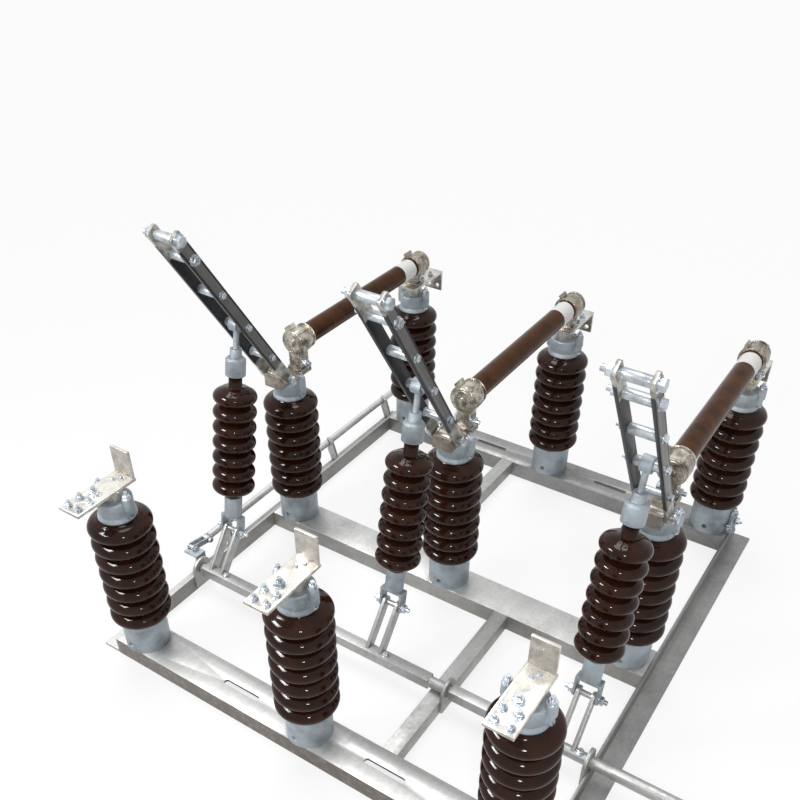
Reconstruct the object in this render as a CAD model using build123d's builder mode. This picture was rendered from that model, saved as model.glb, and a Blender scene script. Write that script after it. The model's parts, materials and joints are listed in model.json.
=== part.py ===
"""Three-pole substation disconnect switch with fuses, on a galvanised steel frame.

Millimetres, +Z up. The origin is the centre of the underside of the bounding box.
Poles stand side by side along X. Each pole has a front, a middle and a rear post along Y.
"""

import os
from math import atan2, cos, degrees, hypot, radians, sin

from build123d import *

os.makedirs("parts", exist_ok=True)

# ---------------------------------------------------------------- driving dimensions
# layout
pole_pitch = 370.0
row_pitch = 442.0

# frame: channels with the web up, between two angle rails
channel_width = 70.0
channel_depth = 35.0
channel_web = 5.0
channel_flange = 6.0
rail_offset = 44.0          # outer pole axis to the rail's inner face
rail_foot = 40.0            # leg that lies outwards at the bottom
rail_thickness = 5.0
slot_length = 76.0
slot_width = 10.0
slot_centre = 148.0         # slot centre from the middle pole
stringer_width = 28.0
stringer_depth = 30.0
stringer_thickness = 4.0
front_stringer_x = 135.0    # centre of its top face, from the middle pole
rear_stringer_x = -89.0

# posts
base_radius = 39.0
base_height = 72.0
base_neck_radius = 33.0     # top of the base casting
base_neck_height = 10.0
base_hole_radius = 5.0
base_hole_rise = 16.0       # hole axis above the beam
porcelain_height = 218.0
core_radius = 36.0
shoulder_radius = 31.0      # porcelain where it enters the cap
shed_radius = 53.0
shed_count = 7
shed_pitch = 32.2
shed_start = 3.5            # rim of the lowest shed above the base
shed_edge = 9.0             # thickness of a shed at its rim
shed_round = 4.2            # rounding of the rim's corners
shed_root = 20.0            # rim's underside to where the top slope meets the core
shed_hollow = 6.0           # how far the underside rises towards the axis
cap_radius = 29.0
cap_height = 36.0
cap_round = 4.0
ear_reach = 36.0            # cap axis to the end of each side ear
ear_width = 16.0
ear_height = 14.0
fit_gap = 0.3               # between curved faces that fit one in the other
running_gap = 0.05          # radial, at each turning pin

# blades
hinge_back = 29.0           # hinge axis in front of the middle post's axis
hinge_rise = 19.0           # hinge axis above the cap's top
blade_length = 404.0        # hinge axis to the front tube
blade_open_deg = 57.5       # above the horizontal, pointing forwards
blade_shut_deg = 5.5
blade_inside = 41.0         # between the two bars
blade_thickness = 6.0
blade_width = 23.0
blade_tip = 12.0            # bars beyond the front tube
blade_tip_cut = 3.0         # cut corners at the tip
blade_tube_radius = 7.75
blade_tube_spacing = 46.0   # between the two tubes at the tip
spacer_tube_at = 267.0      # along the blade
pull_pin_at = 172.0         # along the blade
hinge_pin_radius = 6.0
hinge_pin_end = 5.0         # pin beyond the bars' outer faces

# shaft and levers
shaft_y = -257.0            # from the middle row
shaft_rise = 12.5           # axis above the beams' top
shaft_side = 20.0
shaft_left_reach = 400.0    # from the middle pole to the square bar's left end
shaft_square_right = 330.0
shaft_right_reach = 640.0
journal_radius = 10.0
journal_margin = 4.0        # round part beyond the stringer's plate on each side
shaft_end_gap = 0.5         # shaft's left end inside the left rail
drive_radius = 11.0         # round end outside the right rail
drive_length = 190.0
lever_radius = 95.2         # shaft axis to clevis pin
lever_open_deg = 52.5       # above the horizontal, pointing backwards
lever_thickness = 6.0
lever_inside = 20.0         # between the two bars
lever_width = 20.0
clevis_pin_radius = 5.0
clevis_gap = 1.5            # lever bar to fork arm
clevis_arm = 4.0
clevis_throat = 27.0        # pin axis to the fork's bridge
clevis_bridge = 5.0
bearing_thickness = 6.0
bearing_width = 44.0
bearing_drop = 26.0         # below the beams' top

# pull insulators
pull_shed_radius = 39.5
pull_core_radius = 24.0
pull_shed_pitch = 31.3
pull_shed_start = 3.0       # rim of the lowest shed above the start of the body
pull_shed_root = 15.0
pull_bottom_radius = 16.5
pull_bottom_cap = 42.0
pull_bottom_neck = 12.0
pull_body = 206.0           # porcelain that carries the sheds
pull_neck = 25.0            # bare porcelain above the sheds
pull_neck_radius = 12.0
pull_top_radius = 18.0
pull_top_cap = 34.0
pull_top_shoulder = 4.0     # bevel round the top cap
pull_collar_radius = 10.5
pull_collar = 15.0          # height of the collar that locks the rod
pull_eye_wall = 5.0
pull_eye_width = 18.0
pull_rod_radius = 5.0

# live parts on the caps
terminal_width = 43.0
terminal_thickness = 5.0
terminal_front = 85.0       # front edge from the front post's axis
terminal_back = 33.0        # upright behind the front post's axis
terminal_seat = 19.0        # pad between cap and plate
terminal_seat_radius = 18.0
upright_height = 50.0
upright_width = 39.0
rear_terminal_back = 87.0   # bend behind the rear post's axis
rear_terminal_drop = 45.0
bolt_hole_radius = 4.5
bolt_spacing = 22.0
strap_thickness = 6.0
strap_front = 46.0          # ahead of the middle post's axis
strap_back = 48.0
bracket_outside = 37.0
bracket_cheek = 5.0
bracket_web_height = 20.0
fuse_tube_radius = 20.0
fuse_cap_radius = 22.5
fuse_cap_length = 42.0
fuse_cap_end = 3.0
fuse_front = 20.0           # behind the middle post's axis
fuse_back = 28.0            # behind the rear post's axis
fuse_rise = 64.0            # fuse axis above the cap
clip_thickness = 3.0
clip_length = 26.0
clip_stem = 26.0
clip_foot = 5.0             # thickness of the foot plate
clip_foot_width = 36.0
clip_opening_deg = 70.0
clip_prong = 9.0            # out-turned edge at each side of the opening

# trip rod
trip_rod_radius = 7.5
trip_rod_out = 50.0         # rod axis outside the rail's inner face
trip_rod_front = -180.0
trip_rod_back = 488.0
trip_bracket_thickness = 6.0
trip_bracket_inset = 40.0   # front bracket behind the rod's front end

# ---------------------------------------------------------------- derived layout
rail_inner = pole_pitch + rail_offset
left_reach = rail_inner + trip_rod_out + trip_rod_radius
front_reach = row_pitch + terminal_front
back_reach = row_pitch + rear_terminal_back
centre_x = (left_reach - shaft_right_reach) / 2
centre_y = (front_reach - back_reach) / 2

pole_xs = [centre_x - pole_pitch, centre_x, centre_x + pole_pitch]
pole_names = ["left", "centre", "right"]
front_y, middle_y, rear_y = centre_y - row_pitch, centre_y, centre_y + row_pitch
row_ys = [front_y, middle_y, rear_y]
row_names = ["front", "middle", "rear"]

beam_top = channel_depth
base_top = beam_top + base_height
porcelain_top = base_top + porcelain_height
cap_top = porcelain_top + cap_height
frame_half_length = row_pitch + channel_width / 2

shaft_axis_y = centre_y + shaft_y
shaft_axis_z = beam_top + shaft_rise
hinge_y = middle_y - hinge_back
hinge_z = cap_top + hinge_rise
clevis_y = shaft_axis_y + lever_radius * cos(radians(lever_open_deg))
clevis_z = shaft_axis_z + lever_radius * sin(radians(lever_open_deg))
pull_y = hinge_y - pull_pin_at * cos(radians(blade_open_deg))
pull_z = hinge_z + pull_pin_at * sin(radians(blade_open_deg))
pull_length = hypot(pull_y - clevis_y, pull_z - clevis_z)
pull_lean_deg = degrees(atan2(pull_y - clevis_y, pull_z - clevis_z))
plate_bottom_z = cap_top + terminal_seat
plate_top_z = plate_bottom_z + terminal_thickness
bar_offset = (blade_inside + blade_thickness) / 2


def save(builder, name):
    """Label one node and write it to its own file."""
    builder.part.label = name
    export_step(builder.part, f"parts/{name}.step")


def insulator_profile(core, rim, root, start, pitch):
    """Half section of the sheds, one above the other along local Y, with rounded rims."""
    with BuildSketch(mode=Mode.PRIVATE) as profile:
        with Locations([(0, start + pitch * i) for i in range(shed_count)]):
            Polygon(
                (0, shed_hollow),
                (rim, 0),
                (rim, shed_edge),
                (core, root),
                (0, root),
                align=None,
            )
        rims = profile.vertices().filter_by(lambda corner: corner.X > rim - running_gap)
        fillet(rims, shed_round)
    return profile.sketch


def side_plane(x, y, z, direction_deg):
    """Plane in a pole's side view: local x runs along the direction, measured from +Y towards +Z."""
    angle = radians(direction_deg)
    return Plane(origin=(x, y, z), x_dir=(0, cos(angle), sin(angle)), z_dir=(1, 0, 0))


def pull_plane(x):
    """Plane at the clevis pin, with local z along the pull insulator."""
    lean = radians(pull_lean_deg)
    return Plane(origin=(x, clevis_y, clevis_z), x_dir=(1, 0, 0), z_dir=(0, sin(lean), cos(lean)))


# ---------------------------------------------------------------- frame
for name, side in (("left_rail", -1), ("right_rail", 1)):
    with BuildPart() as rail:
        with BuildSketch(Plane.XZ.offset(frame_half_length - centre_y)):
            with BuildLine():
                corner = centre_x + side * rail_inner
                Polyline(
                    (corner, 0),
                    (corner + side * rail_foot, 0),
                    (corner + side * rail_foot, rail_thickness),
                    (corner + side * rail_thickness, rail_thickness),
                    (corner + side * rail_thickness, beam_top),
                    (corner, beam_top),
                    close=True,
                )
            make_face()
        extrude(amount=-2 * frame_half_length)
    save(rail, name)

for name, row_y in zip(row_names, row_ys):
    with BuildPart() as beam:
        with Locations((centre_x, row_y, beam_top / 2)):
            Box(2 * rail_inner, channel_width, channel_depth)
        with Locations((centre_x, row_y, (beam_top - channel_web) / 2)):
            Box(
                2 * rail_inner,
                channel_width - 2 * channel_flange,
                channel_depth - channel_web,
                mode=Mode.SUBTRACT,
            )
        if name != "middle":
            with BuildSketch(Plane.XY.offset(beam_top)):
                with Locations((centre_x - slot_centre, row_y), (centre_x + slot_centre, row_y)):
                    SlotOverall(slot_length, slot_width)
            extrude(amount=-channel_web, mode=Mode.SUBTRACT)
    save(beam, f"{name}_beam")

for name, from_centre, start_y in (
    ("front_stringer", front_stringer_x, front_y),
    ("rear_stringer", rear_stringer_x, middle_y),
):
    bay = row_pitch - channel_width
    bay_y = start_y + row_pitch / 2
    with BuildPart() as stringer:
        with Locations((centre_x + from_centre, bay_y, beam_top - stringer_thickness / 2)):
            Box(stringer_width, bay, stringer_thickness)
        leg_x = centre_x + from_centre + (stringer_width - stringer_thickness) / 2
        with Locations((leg_x, bay_y, beam_top - stringer_depth / 2)):
            Box(stringer_thickness, bay, stringer_depth)
    save(stringer, name)

# ---------------------------------------------------------------- posts
shoulder_height = shed_start + (shed_count - 1) * shed_pitch + shed_root
post_sheds = insulator_profile(core_radius, shed_radius, shed_root, shed_start, shed_pitch)

with BuildPart() as post_porcelain:
    with BuildSketch(Plane.XZ):
        Polygon(
            (0, 0),
            (core_radius, 0),
            (core_radius, shoulder_height),
            (shoulder_radius, porcelain_height),
            (0, porcelain_height),
            align=None,
        )
        add(post_sheds)
    revolve(axis=Axis.Z)

for row, row_y in zip(row_names, row_ys):
    with BuildPart() as bases:
        with Locations([(x, row_y, beam_top) for x in pole_xs]):
            Cylinder(
                base_radius, base_height - base_neck_height, align=(Align.CENTER, Align.CENTER, Align.MIN)
            )
        with Locations([(x, row_y, base_top - base_neck_height) for x in pole_xs]):
            Cone(
                base_radius,
                base_neck_radius,
                base_neck_height,
                align=(Align.CENTER, Align.CENTER, Align.MIN),
            )
        with BuildSketch(Plane.XZ.offset(base_radius - row_y)):
            with Locations([(x, beam_top + base_hole_rise) for x in pole_xs]):
                Circle(base_hole_radius)
        extrude(amount=-base_radius, mode=Mode.SUBTRACT)
    save(bases, f"{row}_post_bases")

    with BuildPart() as caps:
        with BuildSketch(Plane.XY.offset(porcelain_top)):
            with Locations([(x, row_y) for x in pole_xs]):
                Circle(cap_radius)
        extrude(amount=cap_height)
        fillet(caps.edges().group_by(Axis.Z)[-1], cap_round)
        with Locations([(x, row_y, porcelain_top + cap_height / 2) for x in pole_xs]):
            Box(2 * ear_reach, ear_width, ear_height)
    save(caps, f"{row}_post_caps")

    for pole, x in zip(pole_names, pole_xs):
        with BuildPart() as post:
            with Locations((x, row_y, base_top)):
                add(post_porcelain.part)
        save(post, f"{row}_{pole}_porcelain")

# ---------------------------------------------------------------- line and load terminals
with BuildPart() as front_terminals:
    for x in pole_xs:
        with BuildSketch(Plane.XY.offset(cap_top)):
            with Locations((x, front_y)):
                Circle(terminal_seat_radius)
        extrude(amount=terminal_seat)
        with BuildSketch(Plane.XY.offset(plate_bottom_z)):
            plate_centre_y = front_y + (terminal_back - terminal_front) / 2
            with Locations((x, plate_centre_y)):
                Rectangle(terminal_width, terminal_front + terminal_back)
            with Locations((x, front_y - terminal_front + bolt_spacing)):
                with GridLocations(bolt_spacing, bolt_spacing, 2, 2):
                    Circle(bolt_hole_radius, mode=Mode.SUBTRACT)
        extrude(amount=terminal_thickness)
        with BuildSketch(Plane.XY.offset(plate_top_z)):
            with Locations((x, front_y + terminal_back - terminal_thickness / 2)):
                Rectangle(upright_width, terminal_thickness)
        extrude(amount=upright_height)
save(front_terminals, "front_terminals")

with BuildPart() as rear_terminals:
    for x in pole_xs:
        with BuildSketch(Plane.XY.offset(cap_top)):
            with Locations((x, rear_y)):
                Circle(terminal_seat_radius)
        extrude(amount=terminal_seat)
        with BuildSketch(Plane.YZ.offset(x)):
            with BuildLine():
                bend_y = rear_y + rear_terminal_back
                Polyline(
                    (rear_y - cap_radius, plate_bottom_z),
                    (rear_y - cap_radius, plate_top_z),
                    (bend_y, plate_top_z),
                    (bend_y, plate_top_z - rear_terminal_drop),
                    (bend_y - terminal_thickness, plate_top_z - rear_terminal_drop),
                    (bend_y - terminal_thickness, plate_bottom_z),
                    close=True,
                )
            make_face()
        extrude(amount=terminal_width / 2, both=True)
        with BuildSketch(Plane.XZ.offset(-bend_y)):
            with Locations((x, plate_top_z - rear_terminal_drop + bolt_spacing / 2)):
                with GridLocations(bolt_spacing, bolt_spacing, 2, 1):
                    Circle(bolt_hole_radius)
        extrude(amount=terminal_thickness, mode=Mode.SUBTRACT)
save(rear_terminals, "rear_terminals")

# ---------------------------------------------------------------- hinge brackets
pin_reach = bar_offset + blade_thickness / 2 + hinge_pin_end
strap_y = middle_y + (strap_back - strap_front) / 2
strap_top = cap_top + strap_thickness

with BuildPart() as hinge_brackets:
    for x in pole_xs:
        with Locations((x, strap_y, cap_top + strap_thickness / 2)):
            Box(bracket_outside, strap_front + strap_back, strap_thickness)
        with Locations((x, middle_y - strap_front + bracket_cheek / 2, strap_top + bracket_web_height / 2)):
            Box(bracket_outside, bracket_cheek, bracket_web_height)
        for side in (-1, 1):
            cheek_x = x + side * (bracket_outside - bracket_cheek) / 2
            with BuildSketch(side_plane(cheek_x, hinge_y, hinge_z, 0)):
                Circle(2 * hinge_pin_radius)
                with Locations((0, -hinge_rise / 2)):
                    Rectangle(4 * hinge_pin_radius, hinge_rise)
            extrude(amount=bracket_cheek / 2, both=True)
        with BuildSketch(side_plane(x, hinge_y, hinge_z, 0)):
            Circle(1.6 * hinge_pin_radius)
        extrude(amount=blade_inside / 2 - fit_gap, both=True)
        with BuildSketch(side_plane(x, hinge_y, hinge_z, 0)):
            Circle(hinge_pin_radius)
        extrude(amount=pin_reach, both=True)
save(hinge_brackets, "hinge_brackets")

# ---------------------------------------------------------------- fuses
fuse_z = cap_top + fuse_rise
fuse_start = middle_y + fuse_front
fuse_end = rear_y + fuse_back

for pole, x in zip(pole_names, pole_xs):
    with BuildPart() as fuse_tube:
        with BuildSketch(Plane.XZ.offset(-fuse_start - fuse_cap_end)):
            with Locations((x, fuse_z)):
                Circle(fuse_tube_radius)
        extrude(amount=-(fuse_end - fuse_start - 2 * fuse_cap_end))
    save(fuse_tube, f"{pole}_fuse_tube")

with BuildPart() as fuse_end_caps:
    for start, bore_start in (
        (fuse_start, fuse_start + fuse_cap_end),
        (fuse_end - fuse_cap_length, fuse_end - fuse_cap_length),
    ):
        with BuildSketch(Plane.XZ.offset(-start)):
            with Locations([(x, fuse_z) for x in pole_xs]):
                Circle(fuse_cap_radius)
        extrude(amount=-fuse_cap_length)
        with BuildSketch(Plane.XZ.offset(-bore_start)):
            with Locations([(x, fuse_z) for x in pole_xs]):
                Circle(fuse_tube_radius + fit_gap)
        extrude(amount=-(fuse_cap_length - fuse_cap_end), mode=Mode.SUBTRACT)
save(fuse_end_caps, "fuse_end_caps")

clip_inner = fuse_cap_radius + fit_gap
clip_outer = clip_inner + clip_thickness

for name, clip_start, foot_z in (
    ("middle_fuse_clips", middle_y + strap_back - clip_length, strap_top),
    ("rear_fuse_clips", rear_y - clip_length / 2, plate_top_z),
):
    with BuildPart() as clips:
        for x in pole_xs:
            with BuildSketch(Plane.XZ.offset(-clip_start)):
                with Locations((x, fuse_z)):
                    Circle(clip_outer)
                with Locations((x, (foot_z + fuse_z) / 2)):
                    Rectangle(clip_stem, fuse_z - foot_z)
                with Locations((x, foot_z + clip_foot / 2)):
                    Rectangle(clip_foot_width, clip_foot)
                with Locations((x, fuse_z)):
                    Circle(clip_inner, mode=Mode.SUBTRACT)
                    Triangle(
                        c=2 * clip_outer * sin(radians(clip_opening_deg / 2)) * 2,
                        a=2 * clip_outer,
                        b=2 * clip_outer,
                        align=(Align.CENTER, Align.MAX),
                        rotation=180,
                        mode=Mode.SUBTRACT,
                    )
                with Locations((x, fuse_z)):
                    with PolarLocations(
                        clip_inner + clip_prong / 2,
                        2,
                        start_angle=90 - clip_opening_deg / 2,
                        angular_range=clip_opening_deg,
                        endpoint=True,
                    ):
                        Rectangle(clip_prong, clip_thickness)
            extrude(amount=-clip_length)
    save(clips, name)

# ---------------------------------------------------------------- shaft, levers and bearings
shaft_left = centre_x - shaft_left_reach
shaft_right = centre_x + shaft_square_right
stringer_x = centre_x + front_stringer_x

with BuildPart() as operating_shaft:
    with Locations(((shaft_left + shaft_right) / 2, shaft_axis_y, shaft_axis_z)):
        Box(shaft_right - shaft_left, shaft_side, shaft_side)
    neck_left = stringer_x - stringer_width / 2 - journal_margin
    neck_right = stringer_x + stringer_width / 2 + bearing_thickness + journal_margin
    with Locations(((neck_left + neck_right) / 2, shaft_axis_y, shaft_axis_z)):
        Box(neck_right - neck_left, shaft_side, shaft_side, mode=Mode.SUBTRACT)
    with BuildSketch(Plane.YZ.offset(centre_x - rail_inner + shaft_end_gap)):
        with Locations((shaft_axis_y, shaft_axis_z)):
            Circle(journal_radius)
    extrude(amount=rail_inner + shaft_right_reach - shaft_end_gap)
    with BuildSketch(Plane.YZ.offset(centre_x + shaft_right_reach - drive_length)):
        with Locations((shaft_axis_y, shaft_axis_z)):
            Circle(drive_radius)
    extrude(amount=drive_length)
save(operating_shaft, "operating_shaft")

with BuildPart() as shaft_bearings:
    for plate_x in (
        centre_x - rail_inner,
        stringer_x + stringer_width / 2,
        centre_x + rail_inner - bearing_thickness,
    ):
        with BuildSketch(Plane.YZ.offset(plate_x)):
            with Locations((shaft_axis_y, shaft_axis_z)):
                Circle(bearing_width / 2)
            plate_bottom = beam_top - bearing_drop
            with Locations((shaft_axis_y, (shaft_axis_z + plate_bottom) / 2)):
                Rectangle(bearing_width, shaft_axis_z - plate_bottom)
            with Locations((shaft_axis_y, shaft_axis_z)):
                Circle(journal_radius + running_gap, mode=Mode.SUBTRACT)
        extrude(amount=bearing_thickness)
save(shaft_bearings, "shaft_bearings")

with BuildPart() as shaft_levers:
    for x in pole_xs:
        for side in (-1, 1):
            bar_x = x + side * (lever_inside + lever_thickness) / 2
            with BuildSketch(side_plane(bar_x, shaft_axis_y, shaft_axis_z, lever_open_deg)):
                with Locations((lever_radius / 2, 0)):
                    Rectangle(lever_radius, lever_width)
                with Locations((lever_radius, 0)):
                    Circle(lever_width / 2)
                with Locations(Rotation(0, 0, -lever_open_deg)):
                    Rectangle(shaft_side, shaft_side, mode=Mode.SUBTRACT)
            extrude(amount=lever_thickness / 2, both=True)
        with BuildSketch(side_plane(x, clevis_y, clevis_z, 0)):
            Circle(clevis_pin_radius)
        extrude(amount=lever_inside / 2 + lever_thickness, both=True)
save(shaft_levers, "shaft_levers")

# ---------------------------------------------------------------- pull insulators
bottom_cap_start = clevis_throat + clevis_bridge
bottom_cap_end = bottom_cap_start + pull_bottom_cap
pull_body_start = bottom_cap_end + pull_bottom_neck
pull_body_end = pull_body_start + pull_body
top_cap_start = pull_body_end + pull_neck
top_cap_end = top_cap_start + pull_top_cap
fork_half = lever_inside / 2 + lever_thickness + clevis_gap + clevis_arm
eye_bore = blade_tube_radius + running_gap

pull_sheds = insulator_profile(
    pull_core_radius,
    pull_shed_radius,
    pull_shed_root,
    pull_body_start + pull_shed_start,
    pull_shed_pitch,
)

with BuildPart() as pull_porcelain:
    with BuildSketch(Plane.XZ):
        with Locations((pull_core_radius / 2, pull_body_start + pull_body / 2)):
            Rectangle(pull_core_radius, pull_body)
        with Locations((pull_neck_radius / 2, (bottom_cap_end + top_cap_start) / 2)):
            Rectangle(pull_neck_radius, top_cap_start - bottom_cap_end)
        add(pull_sheds)
    revolve(axis=Axis.Z)

with BuildPart() as pull_fitting:
    with BuildSketch(Plane.XZ):
        with Locations((pull_bottom_radius / 2, (bottom_cap_start + bottom_cap_end) / 2)):
            Rectangle(pull_bottom_radius, pull_bottom_cap)
        with BuildLine():
            Polyline(
                (0, top_cap_start),
                (pull_top_radius, top_cap_start),
                (pull_top_radius, top_cap_end - pull_top_shoulder),
                (pull_top_radius - pull_top_shoulder, top_cap_end),
                (pull_collar_radius, top_cap_end),
                (pull_collar_radius, top_cap_end + pull_collar),
                (pull_rod_radius, top_cap_end + pull_collar),
                (pull_rod_radius, pull_length - eye_bore - pull_eye_wall / 2),
                (0, pull_length - eye_bore - pull_eye_wall / 2),
                close=True,
            )
        make_face()
    revolve(axis=Axis.Z)
    with Locations((0, 0, clevis_throat + clevis_bridge / 2)):
        Box(2 * fork_half, lever_width, clevis_bridge)
    for side in (-1, 1):
        with BuildSketch(Plane.YZ.offset(side * (fork_half - clevis_arm / 2))):
            Circle(lever_width / 2)
            with Locations((0, clevis_throat / 2)):
                Rectangle(lever_width, clevis_throat)
        extrude(amount=clevis_arm / 2, both=True)
    with BuildSketch(Plane.YZ):
        with Locations((0, pull_length)):
            Circle(eye_bore + pull_eye_wall)
            Circle(eye_bore, mode=Mode.SUBTRACT)
    extrude(amount=pull_eye_width / 2, both=True)

for pole, x in zip(pole_names, pole_xs):
    with BuildPart() as porcelain:
        with Locations(pull_plane(x)):
            add(pull_porcelain.part)
    save(porcelain, f"{pole}_pull_porcelain")
    with BuildPart() as fitting:
        with Locations(pull_plane(x)):
            add(pull_fitting.part)
    save(fitting, f"{pole}_pull_fittings")

# ---------------------------------------------------------------- blades
blade_direction = 180 - blade_open_deg

for pole, x in zip(pole_names, pole_xs):
    with BuildPart() as bars:
        for side in (-1, 1):
            with BuildSketch(side_plane(x + side * bar_offset, hinge_y, hinge_z, blade_direction)):
                with Locations(((blade_length + blade_tip) / 2, 0)):
                    tip = Rectangle(blade_length + blade_tip, blade_width)
                chamfer(tip.vertices().group_by(Axis.X)[-1], blade_tip_cut)
                Circle(blade_width / 2)
                Circle(hinge_pin_radius + running_gap, mode=Mode.SUBTRACT)
            extrude(amount=blade_thickness / 2, both=True)
    save(bars, f"{pole}_blade_bars")

    with BuildPart() as tubes:
        with BuildSketch(side_plane(x, hinge_y, hinge_z, blade_direction)):
            with Locations(
                (pull_pin_at, 0),
                (spacer_tube_at, 0),
                (blade_length - blade_tube_spacing, 0),
                (blade_length, 0),
            ):
                Circle(blade_tube_radius)
        extrude(amount=blade_inside / 2, both=True)
    save(tubes, f"{pole}_blade_tubes")

# ---------------------------------------------------------------- trip rod
rod_x = centre_x - rail_inner - trip_rod_out
rod_z = shaft_axis_z

with BuildPart() as trip_rod:
    with BuildSketch(Plane.XZ.offset(-(centre_y + trip_rod_front))):
        with Locations((rod_x, rod_z)):
            Circle(trip_rod_radius)
    extrude(amount=-(trip_rod_back - trip_rod_front))
save(trip_rod, "trip_rod")

with BuildPart() as trip_bracket:
    for bracket_y in (
        centre_y + trip_rod_front + trip_bracket_inset,
        centre_y + row_pitch / 2,
        rear_y,
    ):
        with BuildSketch(Plane.XZ.offset(-bracket_y)):
            with BuildLine():
                Polyline(
                    (centre_x - rail_inner - rail_foot, rail_thickness),
                    (centre_x - rail_inner - rail_foot / 2, rail_thickness),
                    (rod_x + 2 * trip_rod_radius, rod_z + trip_rod_radius),
                    (rod_x, rod_z + 2 * trip_rod_radius),
                    (rod_x, rod_z - 2 * trip_rod_radius),
                    close=True,
                )
            make_face()
            with Locations((rod_x, rod_z)):
                Circle(trip_rod_radius + fit_gap, mode=Mode.SUBTRACT)
        extrude(amount=-trip_bracket_thickness)
save(trip_bracket, "trip_bracket")
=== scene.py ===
"""Dresses a three-pole disconnect switch with its finishes, insulator sheds, fuse trim and fasteners."""

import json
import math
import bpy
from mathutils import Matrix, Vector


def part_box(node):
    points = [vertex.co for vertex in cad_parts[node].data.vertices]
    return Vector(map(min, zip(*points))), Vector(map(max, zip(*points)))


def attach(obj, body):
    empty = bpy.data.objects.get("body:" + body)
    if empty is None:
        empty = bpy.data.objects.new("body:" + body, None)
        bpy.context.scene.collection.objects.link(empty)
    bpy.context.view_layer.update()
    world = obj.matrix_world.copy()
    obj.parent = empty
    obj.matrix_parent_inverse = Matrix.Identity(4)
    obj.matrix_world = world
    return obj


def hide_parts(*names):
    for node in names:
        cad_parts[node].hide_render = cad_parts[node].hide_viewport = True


bl_info = {
    "name": "Disconnect Switch Dressing",
    "version": (1, 0, 0),
    "blender": (4, 5, 0),
    "location": "View3D > Sidebar > Switch",
    "description": "Finishes, insulator sheds and fasteners of a three-pole disconnect switch",
    "category": "Object",
}

import bmesh
import bpy
from mathutils import Matrix, Vector

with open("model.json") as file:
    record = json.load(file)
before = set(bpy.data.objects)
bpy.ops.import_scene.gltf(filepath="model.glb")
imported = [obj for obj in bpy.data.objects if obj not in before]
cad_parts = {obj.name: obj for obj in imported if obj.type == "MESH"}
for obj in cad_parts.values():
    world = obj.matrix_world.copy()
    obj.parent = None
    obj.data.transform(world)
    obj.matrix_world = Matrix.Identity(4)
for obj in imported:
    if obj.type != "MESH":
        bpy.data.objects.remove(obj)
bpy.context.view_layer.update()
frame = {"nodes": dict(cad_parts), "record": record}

POLES = ("left", "centre", "right")
ROWS = ("front", "middle", "rear")
MM = 0.001
UP = Vector((0, 0, 1))
ACROSS = Vector((1, 0, 0))
ALONG = Vector((0, 1, 0))

behaviour = frame["record"]["behaviour"]
body_of = {node: body for body, names in behaviour["bodies"].items() for node in names}
pivots = {joint["name"]: Vector(joint["pos_m"]) for joint in behaviour["joints"]}


def low(node):
    """Lowest corner of a node."""
    return Vector(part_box(node)[0])


def high(node):
    """Highest corner of a node."""
    return Vector(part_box(node)[1])


def middle(node):
    """Centre of a node's box."""
    return (low(node) + high(node)) / 2


pole_x = {pole: middle(f"middle_{pole}_porcelain").x for pole in POLES}
row_y = {row: middle(f"{row}_centre_porcelain").y for row in ROWS}
origin = Vector((pole_x["centre"], row_y["middle"], high("middle_beam").z))
blade_way = (pivots["centre_pull_hinge"] - pivots["centre_blade_hinge"]).normalized()
lever_eye_radius = 10 * MM
lever_eye = high("shaft_levers") - Vector((0, lever_eye_radius, lever_eye_radius))
pull_way = Vector((0, *(pivots["centre_pull_hinge"] - lever_eye).yz)).normalized()

# Places of small parts, which the frame doesn't state.
PULL_FOOT = 74 * MM  # lever eye to the foot of the pull insulator
EAR_REACH = 31 * MM  # post axis to an ear of the cap
STUD_RISE = 9 * MM  # top of an ear's stud above the cap
TERMINAL_PLATE = 24 * MM  # foot of the front terminal to the top of its plate
TERMINAL_BOLT = 11 * MM  # pole axis to a terminal bolt, and the plate's edge to the first row
TERMINAL_ROWS = 22 * MM  # one row of terminal bolts to the next
CLIP_BOLT = 13 * MM  # pole axis to the head of the bolt through a clip's stem
HINGE_FACE = 31.5 * MM  # pole axis to the outer face at the blade's hinge
CLEVIS_FACE = 21.5 * MM  # pole axis to the outer face of the fork
BLADE_FACE = 26.5 * MM  # pole axis to the outer face of a blade bar
HINGE_ROD = 77  # hinge to the nearest cross rod, in millimetres

# Where the blade's paint ends, in metres from the hinge: start and end of each soft edge.
BARE_HINGE = (0.046, 0.052)
BARE_INSIDE = (0.352, 0.356)
BARE_TIP = (0.388, 0.393)
STRIPE_EDGE = (0.0078, 0.0088)  # from the middle line of the bar's outer face

# Profiles in millimetres: (radius, height).
CAP_LIP = [(28.4, 0), (31.4, 0), (32.2, 1.2), (32.0, 3.4), (30.2, 6.4), (29.2, 9.5), (28.4, 9.5), (28.4, 0)]
FUSE_BOSS = [
    (0, 3.2), (5.2, 3.2), (6.4, 2.4), (6.8, 0.8), (13.5, 0.9),
    (15, 1.6), (18.6, 1.6), (19.4, 0.6), (19.4, -1), (0, -1),
]

# Strength of the painted shade, a brown darkening, on the upright faces of each piece of steel.
STEEL_PAINTED_SHADE = {
    "left_rail": 0.7, "right_rail": 0.2, "front_beam": 1.3, "middle_beam": 0.7, "rear_beam": 0,
    "front_stringer": 0.2, "rear_stringer": 0.2, "operating_shaft": 0, "shaft_bearings": 0.3,
    "shaft_levers": 0, "trip_bracket": 0,
}


def hinge_of(pole):
    """Centre of a blade's hinge."""
    return Vector((pole_x[pole], *pivots[f"{pole}_blade_hinge"].yz))


def clevis_of(pole):
    """Centre of the pin between a lever and its pull insulator."""
    return Vector((pole_x[pole], *lever_eye.yz))


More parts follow.
